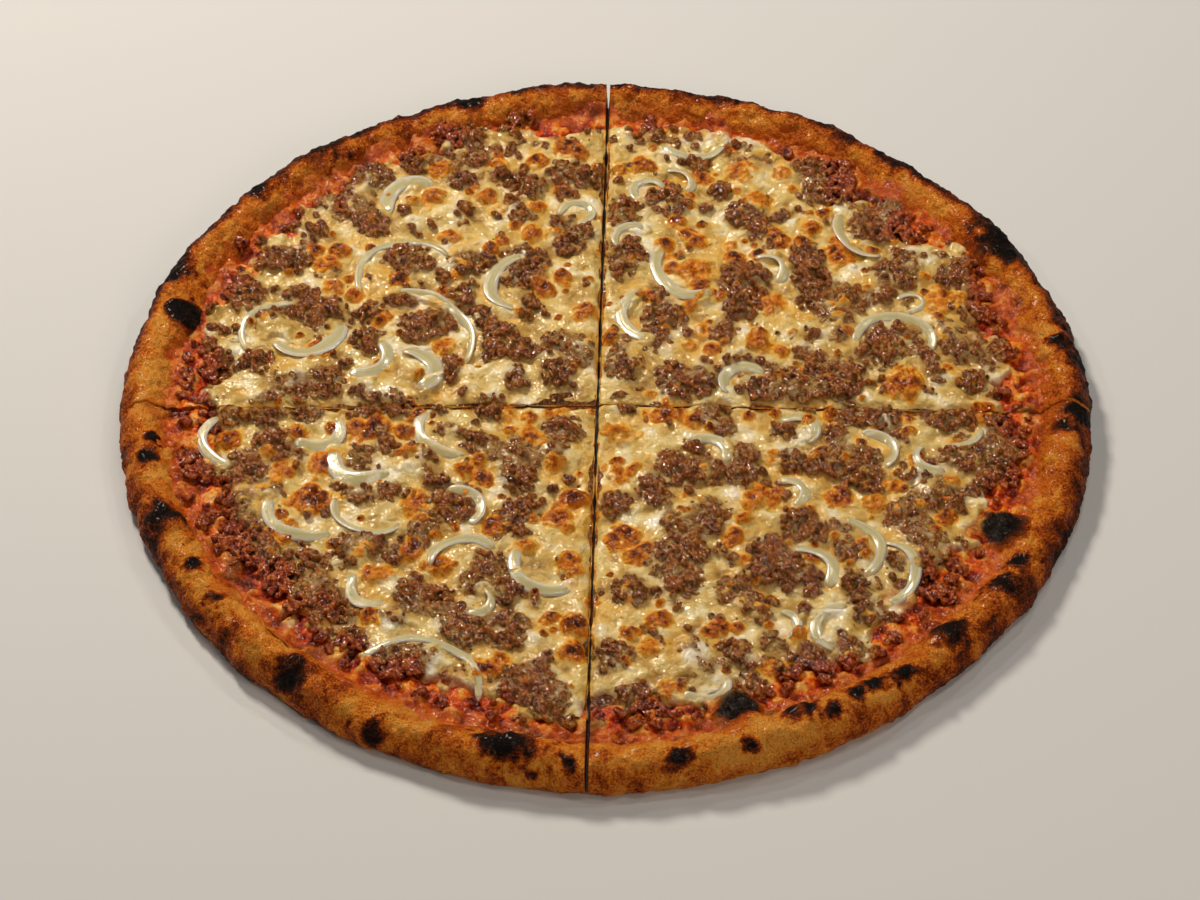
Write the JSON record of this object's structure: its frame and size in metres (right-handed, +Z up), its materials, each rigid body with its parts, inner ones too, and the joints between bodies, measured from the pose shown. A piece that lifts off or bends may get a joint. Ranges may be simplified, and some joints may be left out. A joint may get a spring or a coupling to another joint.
{
  "type": "bolognese pizza",
  "caption": "Whole round baked pizza with a puffed charred rim, tomato sauce, minced beef clumps in melted cheese and onion strips, cut crosswise into quarter slices that lie together.",
  "frame": {"origin": "middle of the pizza's underside, on the plane it rests on", "axes": "+Z up out of the toppings, +X to the right and +Y to the back as seen from the front"},
  "size_m": [0.3004, 0.3005, 0.0147],
  "materials": {
    "crust": "baked dough, golden to dark brown",
    "sauce": "cooked tomato sauce, wet and glossy",
    "mince": "browned minced beef, greasy",
    "cheese": "melted mozzarella, glossy with toasted spots",
    "onion": "baked onion, pale, translucent and glossy"
  },
  "bodies": {
    "root": {"crust_back_right": "crust", "sauce_back_right": "sauce", "mince_back_right": "mince", "cheese_back_right": "cheese", "onion_back_right_01": "onion", "onion_back_right_02": "onion", "onion_back_right_03": "onion", "onion_back_right_04": "onion", "onion_back_right_05": "onion", "onion_back_right_06": "onion", "onion_back_right_07": "onion", "onion_back_right_08": "onion", "onion_back_right_09": "onion", "onion_back_right_10": "onion", "onion_back_right_11": "onion", "crust_back_left": "crust", "sauce_back_left": "sauce", "mince_back_left": "mince", "cheese_back_left": "cheese", "onion_back_left_01": "onion", "onion_back_left_02": "onion", "onion_back_left_03": "onion", "onion_back_left_04": "onion", "onion_back_left_05": "onion", "onion_back_left_06": "onion", "onion_back_left_07": "onion", "onion_back_left_08": "onion", "onion_back_left_09": "onion", "crust_front_left": "crust", "sauce_front_left": "sauce", "mince_front_left": "mince", "cheese_front_left": "cheese", "onion_front_left_01": "onion", "onion_front_left_02": "onion", "onion_front_left_03": "onion", "onion_front_left_04": "onion", "onion_front_left_05": "onion", "onion_front_left_06": "onion", "onion_front_left_07": "onion", "onion_front_left_08": "onion", "onion_front_left_09": "onion", "onion_front_left_10": "onion", "onion_front_left_11": "onion", "onion_front_left_12": "onion", "crust_front_right": "crust", "sauce_front_right": "sauce", "mince_front_right": "mince", "cheese_front_right": "cheese", "onion_front_right_01": "onion", "onion_front_right_02": "onion", "onion_front_right_03": "onion", "onion_front_right_04": "onion", "onion_front_right_05": "onion", "onion_front_right_06": "onion", "onion_front_right_07": "onion", "onion_front_right_08": "onion", "onion_front_right_09": "onion", "onion_front_right_10": "onion", "onion_front_right_11": "onion", "onion_front_right_12": "onion"}
  },
  "joints": []
}
